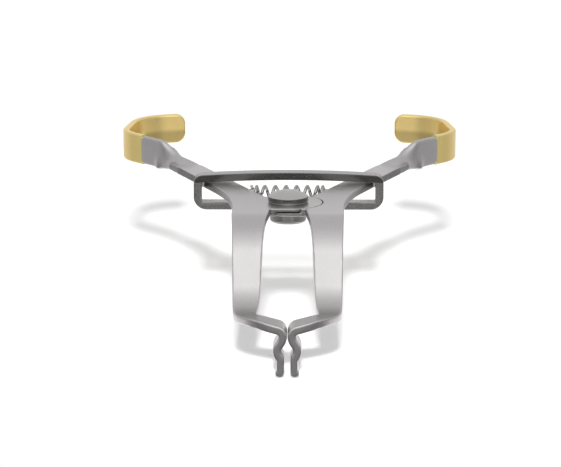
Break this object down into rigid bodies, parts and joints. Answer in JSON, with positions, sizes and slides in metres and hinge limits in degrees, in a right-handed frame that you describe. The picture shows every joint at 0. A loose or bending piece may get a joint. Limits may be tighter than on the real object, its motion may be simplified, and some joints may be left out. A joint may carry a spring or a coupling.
{
  "type": "cheek retractor",
  "caption": "Sprung self-retaining cheek retractor: crossed steel levers with gold plated cheek blades behind, a pincer clip in front, and a sliding frame that sets the spread.",
  "frame": {"origin": "on the pivot axis, at the underside of the pivot nut", "axes": "+Y along the middle plane from the pincers to the cheek blades, +Z along the pivot axis towards its domed head, +X to the right lever's side"},
  "size_m": [0.1038, 0.1505, 0.0456],
  "materials": {
    "lever_steel": "satin",
    "frame_steel": "satin",
    "polished_steel": "polished",
    "spring_steel": "drawn wire",
    "gold_plate": "satin gold plating over steel"
  },
  "bodies": {
    "pivot": {"pivot_pin": "polished_steel", "pivot_washer": "lever_steel", "pivot_nut": "polished_steel", "compression_spring": "spring_steel"},
    "left_side": {"left_lever": "lever_steel", "left_blade": "gold_plate", "left_spring_peg": "lever_steel", "left_peg_pin": "lever_steel"},
    "right_side": {"right_lever": "lever_steel", "right_blade": "gold_plate", "right_spring_peg": "lever_steel", "right_peg_pin": "lever_steel"},
    "frame": {"locking_frame": "frame_steel"}
  },
  "joints": [
    {"name": "left_hinge", "type": "hinge", "parent": "pivot", "child": "left_side", "pos_m": [0, 0, 0.00455], "axis": [0, 0, -1], "range_deg": [0, 8], "stiffness_Nm_per_rad": 0.25, "springref_deg": -11.46, "deforming": ["compression_spring"]},
    {"name": "right_hinge", "type": "hinge", "parent": "pivot", "child": "right_side", "pos_m": [0, 0, 0.00455], "axis": [0, 0, 1], "range_deg": [0, 8], "stiffness_Nm_per_rad": 0.25, "springref_deg": -11.46},
    {"name": "frame_slide", "type": "slide", "parent": "pivot", "child": "frame", "axis": [0, 1, 0], "range_m": [0, 0.0132]}
  ],
  "couplings": [
    {"joint": "right_hinge", "follows": "left_hinge", "ratio": 1},
    {"joint": "frame_slide", "follows": "left_hinge", "m_per_rad": 0.094}
  ]
}
